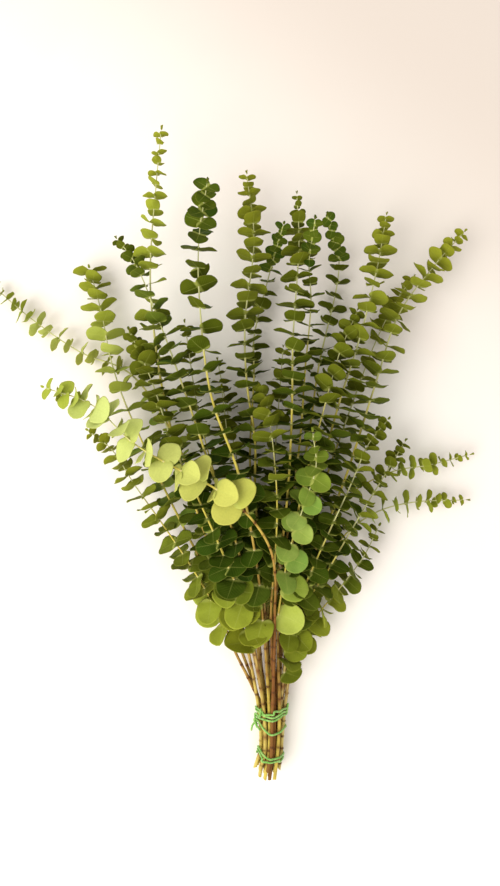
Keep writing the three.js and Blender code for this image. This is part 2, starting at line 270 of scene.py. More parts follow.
def tube_faces(rings, sides):
    """Quads between rings of points that were listed one ring after another."""
    faces = []
    for low in range(0, (rings - 1) * sides, sides):
        high = low + sides
        for index in range(sides):
            following = (index + 1) % sides
            faces.append((low + index, low + following, high + following, high + index))
    return faces


def add_object(name, data):
    """Adds an object with this data to the scene."""
    made = bpy.data.objects.new(name, data)
    bpy.context.scene.collection.objects.link(made)
    return made


def make_piece(name, points, faces, attributes, finish, node):
    """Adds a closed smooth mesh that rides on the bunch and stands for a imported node."""
    mesh = bpy.data.meshes.new(name)
    mesh.from_pydata(np.asarray(points).tolist(), [], faces)
    for key, values in attributes.items():
        layer = mesh.attributes.new(key, "FLOAT", "POINT")
        layer.data.foreach_set("value", np.asarray(values, np.float32))
    mesh.shade_smooth()
    mesh.materials.append(finish)
    piece = add_object(name, mesh)
    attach(piece, "root")
    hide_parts(node)
    return piece


# Finishes


class Shade:
    """A socket of a material. Sums with numbers and other sockets add their Math nodes."""

    def __init__(self, tree, socket=None):
        self.tree = tree
        self.socket = socket

    def node(self, kind, settings=None, sockets=None):
        """Adds a node, sets it up, fills its sockets, and returns its outputs by name."""
        made = self.tree.nodes.new(kind)
        for key, value in (settings or {}).items():
            if key == "stops":
                ramp = made.color_ramp.elements
                while len(ramp) < len(value):
                    ramp.new(1.0)
                for stop, (place, colour) in zip(ramp, value):
                    stop.position = place
                    stop.color = (*colour, 1.0)
            else:
                setattr(made, key, value)
        for key, value in (sockets or {}).items():
            socket = (
                made.inputs[key]
                if isinstance(key, int)
                else next(s for s in made.inputs if s.name == key and s.enabled)
            )
            if isinstance(value, Shade):
                self.tree.links.new(value.socket, socket)
            elif hasattr(socket.default_value, "__len__"):
                wanted = len(socket.default_value)
                socket.default_value = (*value, 1.0)[:wanted]
            else:
                socket.default_value = value
        return {out.name: Shade(self.tree, out) for out in made.outputs if out.enabled}

    def math(self, operation, *values, clamp=False):
        """One Math node over this socket and more values."""
        sockets = dict(enumerate((self, *values)))
        made = self.node("ShaderNodeMath", {"operation": operation, "use_clamp": clamp}, sockets)
        return made["Value"]

    def mix(self, factor, first, second):
        """A colour between two others."""
        settings = {"data_type": "RGBA", "clamp_factor": True}
        sockets = {"Factor": factor, "A": first, "B": second}
        return self.node("ShaderNodeMix", settings, sockets)["Result"]

    def attributes(self, *names):
        """What the mesh stores under these names."""
        return [
            self.node("ShaderNodeAttribute", {"attribute_name": name})["Fac"] for name in names
        ]

    def noise(self, scale, detail, place=None):
        """Noise over the surface, or over another place."""
        place = place or self.node("ShaderNodeNewGeometry")["Position"]
        sockets = {"Vector": place, "Scale": scale, "Detail": detail}
        return self.node("ShaderNodeTexNoise", {}, sockets)["Fac"]

    def vector(self, x, y, z):
        """A place made of three numbers."""
        return self.node("ShaderNodeCombineXYZ", {}, {"X": x, "Y": y, "Z": z})["Vector"]

    def bump(self, strength, distance, height):
        """A normal that leans with a height, which stands for this distance in metres."""
        sockets = {"Strength": strength, "Distance": distance, "Height": height}
        return self.node("ShaderNodeBump", {}, sockets)["Normal"]

    def clamped(self):
        """The same number kept from 0 to 1."""
        return self.math("ADD", 0.0, clamp=True)

    def between(self, low, high):
        """0 below low, 1 above high, and a smooth rise between them."""
        settings = {"interpolation_type": "SMOOTHSTEP"}
        sockets = {"Value": self, "From Min": low, "From Max": high}
        return self.node("ShaderNodeMapRange", settings, sockets)["Result"]

    def __add__(self, other):
        return self.math("ADD", other)

    def __radd__(self, other):
        return self.math("ADD", other)

    def __sub__(self, other):
        return self.math("SUBTRACT", other)

    def __rsub__(self, other):
        return (self * -1.0).math("ADD", other)

    def __mul__(self, other):
        return self.math("MULTIPLY", other)

    def __rmul__(self, other):
        return self.math("MULTIPLY", other)

    def __truediv__(self, other):
        return self.math("DIVIDE", other)

    def __abs__(self):
        return self.math("ABSOLUTE")


def new_finish(name, constants):
    """A material with one Principled shader, whose steady numbers are set on its own sockets."""
    material = bpy.data.materials.new(name)
    material.use_nodes = True
    shader = material.node_tree.nodes["Principled BSDF"]
    for key, value in constants.items():
        shader.inputs[key].default_value = value
    return material, shader, Shade(material.node_tree)


def dress(shader, sockets):
    """Links what varies over the surface to the shader."""
    for key, value in sockets.items():
        value.tree.links.new(value.socket, shader.inputs[key])


# Veins, as shares of a leaf's length, and the number of ribs along it and across it.
VEIN_WIDTH = 0.042
VEIN_TAPER = 0.034
RIBS_ALONG = 8.0
RIBS_SLANT = 7.0
RIB_SHARPNESS = 9.0

# How fine each pattern is, in grains to the metre, and how high each bump is, in metres.
BLOTCHES = 70.0
LEAF_MOTTLE = 520.0
BARK_SPECKS = 900.0
WOOD_GRAIN = 1500.0
TWINE_WEAR = 260.0
TWINE_FIBRES = 2600.0
BUMP_HEIGHT = 0.0003
FIBRE_HEIGHT = 0.0002


def leaf_greens(shade, colours):
    """The colours of a leaf's front and back, without veins, with painted shade on old leaves."""
    aged, yellow, pale = shade.attributes("aged", "yellow", "pale")
    blotches = shade.noise(BLOTCHES, 3.0)
    # Painted shade: leaves far from their branch's tip are darkened towards deep green, front and
    # back.
    painted_shade = aged * (1.0 - pale) * 0.85
    light = pale + (blotches - 0.5) * 0.2
    bright = shade.mix(yellow * 1.6, colours.fresh, colours.bright)
    palest = shade.mix(aged * 0.8, colours.pale, colours.gold)
    front = shade.mix(yellow + (blotches - 0.5) * 0.5, colours.deep, colours.yellow)
    front = shade.mix(painted_shade, front, colours.deep)
    front = shade.mix(light.between(0.0, 0.7), front, bright)
    front = shade.mix(light.between(0.5, 1.0), front, palest)
    back = shade.mix(yellow * 0.8 + pale * 0.5, colours.back, colours.pale_back)
    back = shade.mix(painted_shade, back, colours.deep)
    return front, shade.mix(0.4 + aged * 0.35, front, back)


def leaf_veins(along, across, rim):
    """How strong a leaf's middle vein and its slanting ribs are."""
    middle = (1.0 - across / (VEIN_WIDTH - along * VEIN_TAPER)).clamped()
    slant = (along * RIBS_ALONG - across * RIBS_SLANT).math("FRACT")
    ribs = (1.0 - abs(slant - 0.5) * RIB_SHARPNESS).clamped() * (1.0 - rim.between(0.55, 0.95))
    return (middle * 0.5 + ribs * 0.16).clamped()


def leaf_finish(name, colours):
    """A waxy leaf: veins, mottled green, a paler root, a thin rim, an olive back, painted shade.
    """
    material, shader, shade = new_finish(name, {"Specular IOR Level": 0.02})
    along, across, rim, face = shade.attributes("along", "across", "rim", "face")
    mottle = shade.noise(LEAF_MOTTLE, 2.0)
    front, back = leaf_greens(shade, colours)
    veins = leaf_veins(along, abs(across), rim)
    root = 1.0 - along.between(0.02, 0.15)

    surface = shade.mix(face, back, front)
    surface = shade.mix((mottle - 0.35) * 0.5, surface, shade.mix(0.5, surface, colours.deep))
    surface = shade.mix(veins * 0.6, surface, colours.vein)
    surface = shade.mix(root * 0.65, surface, colours.vein)
    surface = shade.mix(rim.between(0.93, 1.0) * 0.2, surface, colours.rim)
    roughness = 0.56 + (mottle - 0.5) * 0.2 - veins * 0.08
    normal = shade.bump(0.35, BUMP_HEIGHT, veins * 0.6 + mottle * 0.35)
    dress(shader, {"Base Color": surface, "Roughness": roughness, "Normal": normal})
    return material


def stem_ages(colours):
    """The colours of a stem from its tip, 0, to its cut, 1."""
    return [
        (0.22, colours.tip),
        (0.34, colours.middle),
        (0.47, colours.middle),
        (0.60, colours.brown),
        (0.74, colours.brown),
        (0.86, colours.bark),
    ]


def stem_finish(name, colours):
    """Green-white at the tip, yellow below, tan bark with dark joints in the bundle."""
    material, shader, shade = new_finish(name, {"Specular IOR Level": 0.2})
    age, joint, blush, scar = shade.attributes("age", "joint", "blush", "scar")
    cut, warm, around = shade.attributes("cut", "warm", "around")
    streaks = shade.noise(3.0, 4.0, shade.vector(around * 6.0, age * 9.0, warm * 20.0))
    specks = shade.noise(BARK_SPECKS, 2.0)
    old = age.between(0.5, 0.75)
    under_leaves = age.between(0.6, 0.72) * (1.0 - age.between(0.8, 0.9))
    dark_streaks = streaks.between(0.45, 0.75) * age.between(0.3, 0.9)

    ramp = {"Fac": age + (warm - 0.5) * 0.16}
    bark = shade.node("ShaderNodeValToRGB", {"stops": stem_ages(colours)}, ramp)["Color"]
    bark = shade.mix((1.0 - warm.between(0.1, 0.4)) * old * 0.7, bark, colours.straw)
    bark = shade.mix(warm.between(0.6, 0.95) * old * 0.95, bark, colours.red)
    bark = shade.mix(streaks.between(0.4, 0.6) * under_leaves * 0.7, bark, colours.red)
    bark = shade.mix(dark_streaks * 0.65, bark, colours.dark)
    bark = shade.mix(specks.between(0.62, 0.75) * 0.3, bark, colours.dark)
    bark = shade.mix(joint * 0.6, bark, colours.joint)
    bark = shade.mix(blush * 0.8, bark, colours.red)
    bark = shade.mix(scar.between(0.12, 0.6) * 0.92, bark, colours.dark)
    wood = shade.mix(shade.noise(WOOD_GRAIN, 2.0), colours.wood, colours.joint)
    bark = shade.mix(cut, bark, wood)
    roughness = 0.5 + streaks * 0.2
    normal = shade.bump(0.4, BUMP_HEIGHT, streaks * 0.6 + specks * 0.2 + scar * 0.6)
    dress(shader, {"Base Color": bark, "Roughness": roughness, "Normal": normal})
    return material


def twine_finish(name, colours):
    """Matt twisted twine, with painted shade between its plies, and paler where it is rubbed."""
    constants = {"Sheen Weight": 0.25, "Sheen Roughness": 0.6, "Specular IOR Level": 0.25}
    material, shader, shade = new_finish(name, constants)
    (ply,) = shade.attributes("ply")
    wear = shade.noise(TWINE_WEAR, 3.0)
    fibres = shade.noise(TWINE_FIBRES, 3.0)
    green = shade.mix(wear.between(0.35, 0.7), colours.green, colours.pale)
    # Painted shade: the twine is darkened in the grooves between its plies.
    green = shade.mix((1.0 - ply) * 0.6, green, colours.painted_groove_shade)
    green = shade.mix(fibres.between(0.55, 0.8) * 0.35, green, colours.pale)
    roughness = 0.7 + (fibres - 0.5) * 0.3
    normal = shade.bump(0.5, FIBRE_HEIGHT, fibres)
    dress(shader, {"Base Color": green, "Roughness": roughness, "Normal": normal})
    return material


def table_finish(name, stage):
    """A pale warm table top with faint clouding, and painted shade beyond the tips on the right.
    """
    material, shader, shade = new_finish(name, {"Specular IOR Level": 0.2})
    clouds = shade.noise(5.0, 3.0)
    place = shade.node("ShaderNodeNewGeometry")["Position"]
    place = shade.node("ShaderNodeSeparateXYZ", {}, {"Vector": place})
    surface = shade.mix(clouds.between(0.4, 0.7), stage.table, stage.table_cloud)
    # Painted shade: darker and pinker towards the top right, where the window's light falls off.
    painted_falloff = (place["Y"] + place["X"] * 0.8).between(0.15, 0.65)
    surface = shade.mix(painted_falloff, surface, stage.table_painted_shade)
    roughness = 0.6 + clouds * 0.1
    dress(shader, {"Base Color": surface, "Roughness": roughness})
    return material


# What a user would change


def colour(name, description, default):
    """A colour setting."""
    return FloatVectorProperty(
        name=name, description=description, subtype="COLOR", size=3, min=0, max=1, default=default
    )


def length(name, description, default):
    """A length setting, in metres."""
    return FloatProperty(
        name=name, description=description, unit="LENGTH", precision=5, min=0, default=default
    )


def share(name, description, default, high=1.0):
    """A setting that is a share of something."""
    return FloatProperty(
        name=name, description=description, subtype="FACTOR", min=0, max=high, default=default
    )


class BUNCH_PG_leaves(bpy.types.PropertyGroup):
    """Shape and colours of the leaves."""

    growth: share("Growth", "How much larger old leaves are, beside young ones", 0.14)
    thickness: length("Thickness", "Thickness in the middle of a leaf", 0.00045)
    cup: share("Cup", "How far a leaf's rim stands up, as a share of its length", 0.2)
    wave: share("Wave", "How far a leaf's rim waves, as a share of its length", 0.03)
    # Deep green is also the colour of the painted shade on old leaves, far from the tips.
    deep: colour("Deep green", "The greenest leaves", (0.034, 0.068, 0.004))
    yellow: colour("Yellow green", "The yellowest leaves", (0.24, 0.25, 0.012))
    bright: colour("Bright green", "Lighter leaves", (0.33, 0.39, 0.04))
    fresh: colour("Fresh green", "Lighter leaves that are less yellow", (0.15, 0.28, 0.045))
    pale: colour("Pale green", "Young and pale leaves", (0.54, 0.61, 0.18))
    gold: colour("Gold green", "Old pale leaves", (0.53, 0.49, 0.07))
    back: colour("Back", "The back of a green leaf", (0.120, 0.112, 0.004))
    pale_back: colour("Pale back", "The back of a pale leaf", (0.35, 0.37, 0.035))
    vein: colour("Vein", "Veins and the root of a leaf", (0.46, 0.50, 0.11))
    rim: colour("Rim", "The thin edge of a leaf", (0.30, 0.22, 0.05))


class BUNCH_PG_stems(bpy.types.PropertyGroup):
    """Shape and colours of the stems."""

    joint_swell: share("Joint", "How much thicker a stem is at a joint", 0.16)
    joint_spacing: length("Joint spacing", "Between the joints of a bare stem", 0.016)
    tip: colour("Tip", "Young stem near the tip", (0.54, 0.54, 0.23))
    middle: colour("Middle", "Stem among the leaves", (0.64, 0.53, 0.085))
    brown: colour("Brown", "Stem below the leaves", (0.46, 0.29, 0.055))
    bark: colour("Bark", "Bark in the bundle", (0.58, 0.45, 0.070))
    straw: colour("Straw", "Bark of the palest stems", (0.66, 0.56, 0.19))
    red: colour("Red bark", "Bark of the reddish stems", (0.17, 0.050, 0.007))
    dark: colour("Dark", "Scars and streaks", (0.085, 0.030, 0.004))
    joint: colour("Joint", "The band at a joint", (0.64, 0.62, 0.36))
    wood: colour("Wood", "The cut end", (0.58, 0.44, 0.18))


class BUNCH_PG_twine(bpy.types.PropertyGroup):
    """Shape and colours of the twine."""

    radius: length("Radius", "Radius of the twine", 0.0011)
    twist: length("Twist", "Length of one turn of its plies", 0.006)
    plies: IntProperty(
        name="Plies", description="How many plies it has", subtype="UNSIGNED", min=2, default=3
    )
    green: colour("Green", "The twine", (0.15, 0.40, 0.035))
    pale: colour("Pale green", "Where the twine is rubbed", (0.36, 0.60, 0.15))
    # The painted shade in the grooves between the plies.
    painted_groove_shade: colour("Groove", "Between the plies", (0.05, 0.20, 0.02))


class BUNCH_PG_stage(bpy.types.PropertyGroup):
    """The table, the camera and the light."""

    camera_height: length("Camera height", "Above the table", 0.768)
    camera_right: length("Camera right", "Right of the middle of the bunch", 0.025)
    camera_up: length("Camera up", "Towards the tips from the middle of the bunch", 0.023)
    lens: FloatProperty(name="Lens", description="Focal length", unit="CAMERA", default=27.954)
    table: colour("Table", "The table top", (0.90, 0.86, 0.78))
    table_cloud: colour("Table clouds", "Its faint clouding", (0.88, 0.81, 0.74))
    # The painted shade that darkens the table beyond the tips, on the right.
    table_painted_shade: colour("Table away", "Beyond the tips, on the right", (0.69, 0.61, 0.53))
    sky: share("Sky", "Strength of the light all round", 0.95, high=10.0)
    window: FloatProperty(
        name="Window", description="Power of the window", unit="POWER", default=36
    )


# Leaves

# Half of a leaf's outline, from the notch at its stem to its tip: how far it is along the leaf
# and how far aside, as shares of the leaf's length.
LEAF_OUTLINE = np.array(
    [
        (0.03, 0.0),
        (-0.04, 0.10),
        (-0.075, 0.21),
        (-0.04, 0.33),
        (0.06, 0.44),
        (0.20, 0.52),
        (0.37, 0.545),
        (0.55, 0.525),
        (0.72, 0.455),
        (0.86, 0.33),
        (0.96, 0.17),
        (1.0, 0.0),
    ]
)
LEAF_RAYS = 2 * len(LEAF_OUTLINE) - 2
LEAF_RINGS = (0.28, 0.52, 0.74, 0.9, 1.0)
LEAF_HEART = 0.42
ABOVE_TABLE = 0.0003

# How uneven leaves are: the lowest and highest value of each thing that varies between them.
LEAF_SLIM = (0.93, 1.05)
LEAF_CUP = (0.2, 1.3)
LEAF_FOLD = (-0.04, 0.14)
LEAF_DROOP = (-0.10, 0.14)
LEAF_TWIST = (-0.22, 0.22)
LOBES_OF_TWO = 0.022
LOBES_OF_THREE = 0.014
CUP_ACROSS = 1.9
FLAT_AT_ROOT = 0.35
RIM_THINNING = 0.45

BUD_SIZE = 0.0042
BUD_SPREAD = 0.0015
BUD_BEYOND = 0.0006
BUD_OPENING = 0.28
BUD_SLIM = 0.55

# Where leaves change with age, in metres below their branch's tip: from the first to the last.
YOUNG_FOR = (0.0, 0.12)
NEWEST_FOR = (0.02, 0.1)
# OLD_FROM also sets where painted shade darkens the older leaves.
OLD_FROM = (0.06, 0.26)
# Where the bunch's lowest leaves turn yellow and lose their painted shade, in metres below its
# middle.
LOW_FROM = (0.1, 0.17)
LOW_SHARE_IN_DARK = 0.6
# How old a leaf is that has the size of its packed leaf.
USUAL_AGE = 0.4


class LeafPattern:
    """A round leaf seen flat: the places of its points as shares of its length.

    along runs from the stem to the tip and across from side to side."""

    def __init__(self):
        reach, aside = np.concatenate([LEAF_OUTLINE, LEAF_OUTLINE[-2:0:-1] * (1, -1)]).T
        angle = np.arctan2(aside, reach - LEAF_HEART)
        self.angle = np.concatenate([[0.0], np.tile(angle, len(LEAF_RINGS))])
        self.rim = np.concatenate([[0.0], np.repeat(LEAF_RINGS, LEAF_RAYS)])
        self.edge_reach = np.concatenate([[LEAF_HEART], np.tile(reach, len(LEAF_RINGS))])
        self.edge_aside = np.concatenate([[0.0], np.tile(aside, len(LEAF_RINGS))])
        self.count = len(self.rim)
        self.faces = self.join_points()

    def join_points(self):
        """The faces of the front, the back and the thin edge between them."""
        front = []
        for ray in range(LEAF_RAYS):
            following = (ray + 1) % LEAF_RAYS
            front.append((0, 1 + ray, 1 + following))
            for ring in range(len(LEAF_RINGS) - 1):
                low = 1 + ring * LEAF_RAYS
                high = low + LEAF_RAYS
                front.append((low + ray, high + ray, high + following, low + following))
        back = [tuple(point + self.count for point in face[::-1]) for face in front]
        outer = 1 + (len(LEAF_RINGS) - 1) * LEAF_RAYS
        edge = []
        for ray in range(LEAF_RAYS):
            here, following = outer + ray, outer + (ray + 1) % LEAF_RAYS
            edge.append((here, here + self.count, following + self.count, following))
        return front + back + edge


def leaf_points(pattern, leaf, size, settings, chance):
    """The points of one leaf, front then back, and how far each is along and across."""
    wobble = chance.uniform(0, 2 * np.pi, 4)
    uneven = 1 + LOBES_OF_TWO * np.sin(2 * pattern.angle + wobble[0])
    uneven += LOBES_OF_THREE * np.sin(3 * pattern.angle + wobble[1])
    slim = chance.uniform(*LEAF_SLIM)
    along = LEAF_HEART + (pattern.edge_reach - LEAF_HEART) * pattern.rim * uneven
    across = pattern.edge_aside * pattern.rim * uneven * slim

    cup = settings.cup * chance.uniform(*LEAF_CUP)
    fold = chance.uniform(*LEAF_FOLD)
    droop = chance.uniform(*LEAF_DROOP)
    twist = chance.uniform(*LEAF_TWIST)
    wave = settings.wave * np.sin(3 * pattern.angle + wobble[2])
    wave += 0.6 * settings.wave * np.sin(5 * pattern.angle + wobble[3])
    height = cup * ((along - LEAF_HEART) ** 2 + CUP_ACROSS * across**2)
    height += fold * np.abs(across) - droop * along**2 + twist * along * across
    height += wave * pattern.rim**2
    height *= smoothstep(along, 0.0, FLAT_AT_ROOT)

    half = 0.5 * settings.thickness * (1 - RIM_THINNING * pattern.rim**2)
    flat = leaf["base"] + size * (
        along[:, None] * leaf["out"]
        + across[:, None] * leaf["across"]
        + height[:, None] * leaf["normal"]
    )
    front = flat + half[:, None] * leaf["normal"]
    back = flat - half[:, None] * leaf["normal"]
    lift = np.maximum(0, ABOVE_TABLE - np.minimum(front[:, 2], back[:, 2]))
    front[:, 2] += lift
    back[:, 2] += lift
    return np.concatenate([front, back]), along, across


def bud_leaves(branch, chance):
    """The two folded leaves that close round a branch's tip."""
    line = branch["line"]
    towards = unit(line[-1] - line[-2])
    side = unit(np.cross(towards, chance.normal(size=3)))
    size = BUD_SIZE + BUD_SPREAD * chance.random()
    leaves = []
    for sign in (1, -1):
        out = unit(towards + sign * BUD_OPENING * side)
        across = np.cross(towards, side)
        normal = np.cross(out, across)
        if normal @ side * sign > 0:
            across, normal = -across, -normal
        leaf = {"base": line[-1] + towards * BUD_BEYOND, "size": size, "ring": len(line) - 1}
        leaves.append({**leaf, "out": out, "across": BUD_SLIM * across, "normal": normal})
    return leaves


def leaf_tones(node, base, from_tip, chance):
    """How old a leaf is, which also sets its painted shade, and how yellow and how pale it is."""
    yellow, pale = BRANCH_LOOKS.get(node, USUAL_LOOK)
    young = 1 - smoothstep(from_tip, *YOUNG_FOR)
    newest = 1 - smoothstep(from_tip, *NEWEST_FOR)
    old = smoothstep(from_tip, *OLD_FROM)
    low = smoothstep(-base[1], *LOW_FROM) * (LOW_SHARE_IN_DARK if node in DARK_BELOW else 1)
    hue = yellow * (1 - 0.4 * old + 0.3 * young) + chance.uniform(-0.1, 0.1)
    hue += low * chance.uniform(0.5, 1.2)
    light = pale * (1 - 0.5 * old) * (1 - 0.7 * newest) + 0.04 * young
    light += chance.uniform(-0.05, 0.06) + low * chance.uniform(0.15, 0.5)
    light = min(light, max(0.55, pale))
    return old * (1 - low), np.clip(hue, 0, 1), np.clip(light, 0, 1)


def grow_leaves(node, pattern, settings, finish):
    """All leaves of one branch as one piece."""
    chance = np.random.default_rng(int(node[-2:]))
    branch = read_branch(node)
    reach = SmoothLine(branch["line"]).places
    both = 2 * pattern.count
    points, faces, shown = [], [], []
    for number, leaf in enumerate(branch["leaves"] + bud_leaves(branch, chance)):
        from_tip = reach[-1] - reach[leaf["ring"]]
        old = smoothstep(from_tip, *OLD_FROM)
        size = leaf["size"] * (1 + settings.growth * (old - USUAL_AGE))
        made, along, across = leaf_points(pattern, leaf, size, settings, chance)
        points.append(made)
        faces += [tuple(point + number * both for point in face) for face in pattern.faces]
        aged, yellow, pale = leaf_tones(node, leaf["base"], from_tip, chance)
        shown.append(
            {
                "along": np.tile(along, 2),
                "across": np.tile(across, 2),
                "rim": np.tile(pattern.rim, 2),
                "face": np.repeat([1.0, 0.0], pattern.count),
                "aged": np.full(both, aged),
                "yellow": np.full(both, yellow),
                "pale": np.full(both, pale),
            }
        )
    attributes = {key: np.concatenate([leaf[key] for leaf in shown]) for key in shown[0]}
    name = node.replace("branch", "leaves")
    return make_piece(name, np.concatenate(points), faces, attributes, finish, node)


# Stems

STEM_SIDES = 10
STEM_STEP = 0.004
JOINT_STEPS = (-0.004, -0.0022, -0.0012, -0.0005, 0.0, 0.0005, 0.0012, 0.0022, 0.004)
JOINT_WIDTH = 0.001
SCAR_WIDTH = 0.0016
BLUSH_WIDTH = 0.0042
TIP_BEYOND = 0.0012
FIRST_JOINT = 0.004
UNEVEN_JOINTS = (0.8, 1.25)
SCAR_SWELL = 1.4
CUT_SLOPE = 0.9
CUT_BARK = 0.2

# How much thinner a stem is among its leaves, and where that starts and ends above its cut.
THINNING = 0.32
THINNING_OVER = (0.06, 0.2)
RED_WARMTH = 0.9
MOST_WARMTH = 0.8


def stem_joints(branch, line, settings, chance):
    """Where a stem has its joints, whether each is bare, and which way its scars face."""
    rings = sorted({leaf["ring"] for leaf in branch["leaves"]})
    joints = [(line.places[ring], False, 0.0) for ring in rings]
    place = line.places[rings[0]] - settings.joint_spacing
    turn = chance.uniform(0, np.pi)
    while place > FIRST_JOINT:
        joints.append((place, True, turn))
        place -= settings.joint_spacing * chance.uniform(*UNEVEN_JOINTS)
        turn += np.pi / 2
    return joints


def bell(places, middle, width):
    """1 at the middle, and falling to nothing on both sides of it."""
    return np.exp(-(((places - middle) / width) ** 2))


def mark_joints(places, joints, radii, settings, chance):
    """Swells the radii at the joints, and says where joints, blush and scars show."""
    angles = even_angles(STEM_SIDES)
    joint = np.zeros(len(places))
    blush = np.zeros(len(places))
    scar = np.zeros((len(places), STEM_SIDES))
    for place, bare, turn in joints:
        near = bell(places, place, JOINT_WIDTH)
        if bare:
            facing = np.clip(np.cos(2 * (angles - turn)), 0, 1) ** 2
            band = bell(places, place, SCAR_WIDTH) * chance.uniform(0.4, 1.0)
            scar = np.maximum(scar, band[:, None] * (0.6 + 0.4 * facing))
            glow = bell(places, place, BLUSH_WIDTH) * chance.uniform(0.2, 1.0)
            blush = np.maximum(blush, glow)
            radii *= 1 + SCAR_SWELL * settings.joint_swell * near[:, None] * facing
        else:
            joint = np.maximum(joint, near)
        radii *= 1 + settings.joint_swell * near[:, None]
    return joint, blush, scar


def close_stem(points, tip):
    """Adds the cut end's inner ring and middle, and the tip, with their faces."""
    last = len(points)
    rim = points[:STEM_SIDES]
    inner = rim * (1 - CUT_BARK) + rim.mean(axis=0) * CUT_BARK
    middle = rim.mean(axis=0, keepdims=True)
    faces = []
    for index in range(STEM_SIDES):
        following = (index + 1) % STEM_SIDES
        top = last - STEM_SIDES
        faces.append((following, index, last + index, last + following))
        faces.append((last + following, last + index, last + STEM_SIDES))
        faces.append((top + index, top + following, last + STEM_SIDES + 1))
    return np.concatenate([points, inner, middle, tip[None]]), faces


def grow_stem(node, settings, finish):
    """One stem as a round tube with joints, closed by its oblique cut and its tip."""
    chance = np.random.default_rng(100 + int(node[-2:]))
    branch = read_branch(node)
    line = SmoothLine(branch["line"])
    joints = stem_joints(branch, line, settings, chance)
    places = list(np.linspace(0, line.length, int(line.length / STEM_STEP)))
    places += [place + step for place, _, _ in joints for step in JOINT_STEPS]
    places = np.unique(np.clip(np.array(places), 0, line.length).round(5))
    centres = line.at(places)
    sides, ups, towards = cross_frames(centres)

    radii = np.interp(places, line.places, branch["radii"])[:, None] * np.ones(STEM_SIDES)
    radii *= (1 - THINNING * smoothstep(places, *THINNING_OVER))[:, None]
    joint, blush, scar = mark_joints(places, joints, radii, settings, chance)
    points = tube_points(centres, radii, sides, ups)
    slope = chance.uniform(-CUT_SLOPE, CUT_SLOPE)
    lean = slope * radii[0] * np.cos(even_angles(STEM_SIDES) - chance.uniform(0, 6))
    points[0] += lean[:, None] * towards[0]
    points = points.reshape(-1, 3)
    points[:, 2] = np.maximum(points[:, 2], ABOVE_TABLE)
    points, ends = close_stem(points, centres[-1] + towards[-1] * TIP_BEYOND)

    cut_end = STEM_SIDES + 1
    plain_ends = np.zeros(cut_end + 1)
    marked_ends = np.array([1.0] * cut_end + [0.0])
    around = np.tile(np.abs(even_angles(STEM_SIDES) / np.pi - 1), len(places))
    warm = RED_WARMTH if node in RED_STEMS else chance.uniform(0.0, MOST_WARMTH)
    attributes = {
        "age": np.append(np.repeat(1 - places / line.length, STEM_SIDES), marked_ends),
        "joint": np.append(np.repeat(joint, STEM_SIDES), plain_ends),
        "blush": np.append(np.repeat(blush, STEM_SIDES), plain_ends),
        "scar": np.append(scar, plain_ends),
        "around": np.append(around, plain_ends),
        "cut": np.append(np.zeros(len(around)), marked_ends),
        "warm": np.full(len(points), warm),
    }
    faces = tube_faces(len(places), STEM_SIDES) + ends
    name = node.replace("branch", "stem")
    return make_piece(name, points, faces, attributes, finish, node)


# Twine

TWINE_SIDES = 18
TWINE_STEP = 0.0006
TWINE_LOWEST = 0.0015
PLY_ROUNDNESS = 0.7
GROOVE_DEPTH = 0.26
END_THICKNESS = 0.35
END_TAPER = 0.0012
END_BEYOND = 0.0003
QUARTER_STEPS = 20
ACROSS_STEPS = 16

# How far towards the tips each tie lies at each quarter turn, in metres: left, top, right, under.
TIE_HEIGHTS = {
    "twine_upper": (
        *(0.0130, 0.0095, 0.0155, 0.0130),
        *(0.0095, 0.0060, 0.0125, 0.0090),
        *(0.0030, 0.0025, 0.0095, 0.0030),
        *(-0.0015, -0.0125, -0.0090, -0.0060),
        -0.0040,
    ),
    "twine_lower": (
        *(0.0070, -0.0010, -0.0015, 0.0030),
        *(0.0030, -0.0045, -0.0055, -0.0010),
        -0.0005,
    ),
}
KNOTTED_TIE = "twine_upper"
KNOT_STEPS = 40

# Places on the upper tie: degrees from the top of the bundle, and metres towards the tips.
CROSSING_STRAND = ((-82, -0.0110), (-48, 0.0150))
KNOT_PLACE = (-70, -0.0035)
# The knot's two tails, in metres from its middle.
KNOT_TAILS = (
    [(0, 0, 0), (-0.003, -0.003, 0.001), (-0.0042, -0.007, 0), (-0.0045, -0.011, -0.003)],
    [(0, 0, 0), (0.001, -0.003, 0.0025), (0.0035, -0.006, 0.003), (0.005, -0.009, 0.0015)],
)
# How far out the knot and the crossing strand lie, and the knot's size, in twine radii.
CROSSING_LIFT = 2.1
KNOT_LIFT = 1.9
KNOT_SIZE = 0.9
KNOT_DEPTH = 1.2


def twine_strand(points, settings):
    """A twisted strand along the points: its mesh points, faces and how far out each ply is."""
    line = SmoothLine(points)
    places = np.linspace(0, line.length, int(line.length / TWINE_STEP))
    centres = line.at(places)
    sides, ups, towards = cross_frames(centres)
    turned = even_angles(TWINE_SIDES)[None] - (2 * np.pi * places / settings.twist)[:, None]
    ply = np.abs(np.cos(0.5 * settings.plies * turned)) ** PLY_ROUNDNESS
    from_end = np.minimum(places, line.length - places)
    taper = np.minimum(1, END_THICKNESS + from_end / END_TAPER)
    radii = settings.radius * (1 - GROOVE_DEPTH + GROOVE_DEPTH * ply) * taper[:, None]
    made = tube_points(centres, radii, sides, ups).reshape(-1, 3)
    faces = tube_faces(len(places), TWINE_SIDES)
    count = len(made)
    for index in range(TWINE_SIDES):
        following = (index + 1) % TWINE_SIDES
        faces.append((following, index, count))
        faces.append((count - TWINE_SIDES + index, count - TWINE_SIDES + following, count + 1))
    first, last = centres[0] - towards[0] * END_BEYOND, centres[-1] + towards[-1] * END_BEYOND
    return np.concatenate([made, [first, last]]), faces, np.append(ply, [0.5, 0.5])


